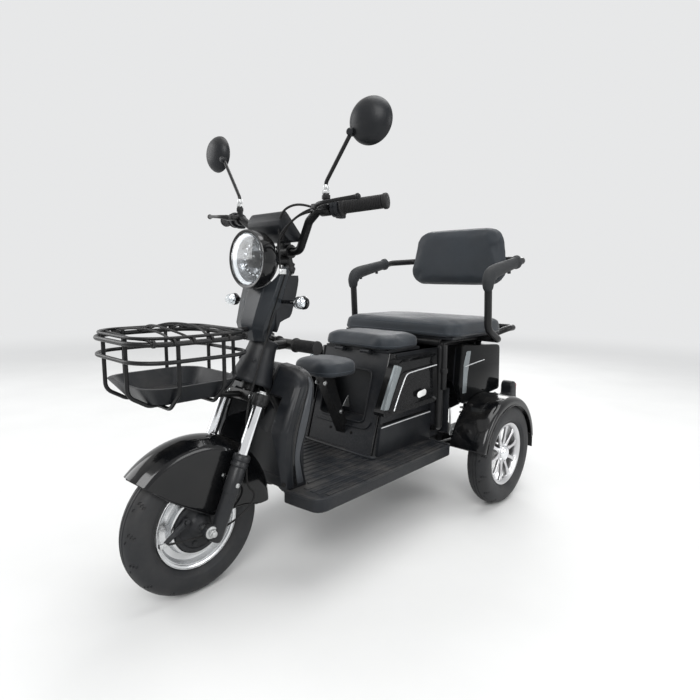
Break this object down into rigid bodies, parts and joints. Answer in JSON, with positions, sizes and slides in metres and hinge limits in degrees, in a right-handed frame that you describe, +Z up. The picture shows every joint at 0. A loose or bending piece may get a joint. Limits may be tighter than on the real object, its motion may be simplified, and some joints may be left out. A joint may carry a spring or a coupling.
{
  "type": "three-wheel electric scooter",
  "caption": "Electric mobility trike scooter with a raked steering fork, front wire basket, flat footboard, child saddle, lifting rider seat and a passenger bench with armrests and backrest.",
  "frame": {"origin": "on the ground, in the middle of the vehicle", "axes": "+Z up, -Y forward, +X to the rider's left"},
  "size_m": [0.7262, 1.483, 1.22],
  "materials": {
    "tyre": "matt black tread rubber",
    "alloy": "painted silver casting, satin",
    "chrome": "polished plated tube",
    "black_frame": "satin black powder coat",
    "zinc": "dull plated steel",
    "gloss_black": "gloss black body panel",
    "satin_black": "grained satin black moulding",
    "floor_black": "ribbed matt black moulding",
    "seat_leather": "black leathercloth, soft sheen",
    "soft_rubber": "matt foam rubber",
    "clear_lens": "clear moulded lens",
    "mirror": "silvered glass",
    "display": "gloss dark screen",
    "red_lens": "clear red moulding",
    "battery_case": "grey steel case"
  },
  "bodies": {
    "chassis": {"arm_frame": "black_frame", "armrest_pads": "soft_rubber", "backrest_pad": "seat_leather", "backrest_plate": "satin_black", "battery_block": "battery_case", "child_grab_bar": "soft_rubber", "child_seat": "seat_leather", "child_seat_bracket": "black_frame", "floor_frame": "black_frame", "floorboard": "floor_black", "grab_bar": "black_frame", "head_frame": "black_frame", "leg_shield": "satin_black", "neck_cover": "satin_black", "passenger_seat": "seat_leather", "passenger_seat_pan": "satin_black", "rear_axle": "zinc", "rear_fenders": "gloss_black", "seat_box": "satin_black", "seat_frame": "black_frame", "shock_absorbers": "zinc", "side_panels": "gloss_black", "tail_cover": "satin_black", "tail_lamps": "red_lens", "tail_panels": "gloss_black"},
    "steering": {"fork_stem": "black_frame", "fork_stanchions": "chrome", "fork_lowers": "black_frame", "front_axle": "zinc", "brake_plate": "alloy", "front_fender": "gloss_black", "handlebar": "black_frame", "grips": "soft_rubber", "brake_levers": "black_frame", "bar_switches": "satin_black", "mirrors": "black_frame", "mirror_glass": "mirror", "headlamp_housing": "gloss_black", "headlamp_ring": "chrome", "headlamp_lens": "clear_lens", "nose_fairing": "gloss_black", "turn_signals": "satin_black", "signal_lenses": "clear_lens", "display_panel": "display", "basket_frame": "black_frame", "basket_tray": "satin_black"},
    "front_wheel": {"front_tyre": "tyre", "front_rim": "alloy"},
    "rear_wheel_left": {"rear_tyre_left": "tyre", "rear_rim_left": "alloy"},
    "rear_wheel_right": {"rear_tyre_right": "tyre", "rear_rim_right": "alloy"},
    "rider_seat": {"rider_seat": "seat_leather", "rider_seat_pan": "satin_black"}
  },
  "joints": [
    {"name": "steering_turn", "type": "hinge", "parent": "chassis", "child": "steering", "pos_m": [0, -0.52573, 0.16576], "axis": [0, 0.4067, 0.9135], "range_deg": [-35, 35]},
    {"name": "front_wheel_spin", "type": "hinge", "parent": "steering", "child": "front_wheel", "pos_m": [0, -0.5577, 0.18], "axis": [1, 0, 0], "continuous": true},
    {"name": "rear_left_spin", "type": "hinge", "parent": "chassis", "child": "rear_wheel_left", "pos_m": [0.317, 0.4693, 0.18], "axis": [1, 0, 0], "continuous": true},
    {"name": "rear_right_spin", "type": "hinge", "parent": "chassis", "child": "rear_wheel_right", "pos_m": [-0.317, 0.4693, 0.18], "axis": [1, 0, 0], "continuous": true},
    {"name": "rider_seat_lift", "type": "hinge", "parent": "chassis", "child": "rider_seat", "pos_m": [0, 0.0313, 0.56], "axis": [1, 0, 0], "range_deg": [0, 75]}
  ]
}
